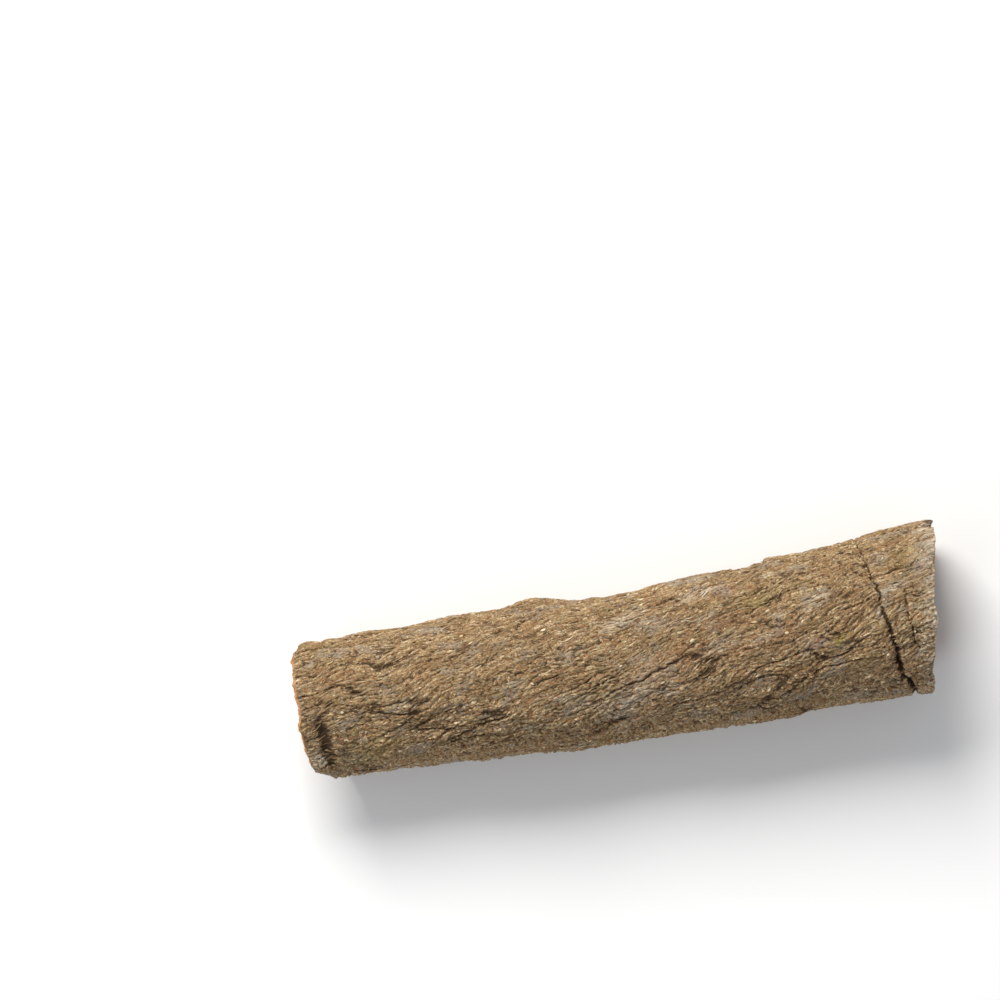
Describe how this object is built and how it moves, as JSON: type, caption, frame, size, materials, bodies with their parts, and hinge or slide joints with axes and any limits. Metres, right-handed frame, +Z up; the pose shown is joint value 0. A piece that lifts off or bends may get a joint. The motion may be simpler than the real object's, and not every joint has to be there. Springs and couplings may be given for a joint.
{
  "type": "cinnamon stick",
  "caption": "Cinnamon stick: a short quill of thick cassia bark with a rough grey-brown back, its long edges rolled inwards to a seam underneath, hollow from end to end.",
  "frame": {"origin": "on the surface that the quill lies on, under the middle of its bounding box", "axes": "+X along the quill, from its thin end to its thick end; +Y sideways, towards the picture's upper side; +Z up, away from the seam"},
  "size_m": [0.0921, 0.024, 0.0209],
  "materials": {
    "bark": "dry rough cork, grey-brown with pale and reddish flecks, dull",
    "inner_bark": "dry cut and inner bark, orange-tan at the cuts and reddish brown inside, finely fibrous, dull"
  },
  "bodies": {
    "root": {"bark_quill": "bark"}
  },
  "joints": []
}
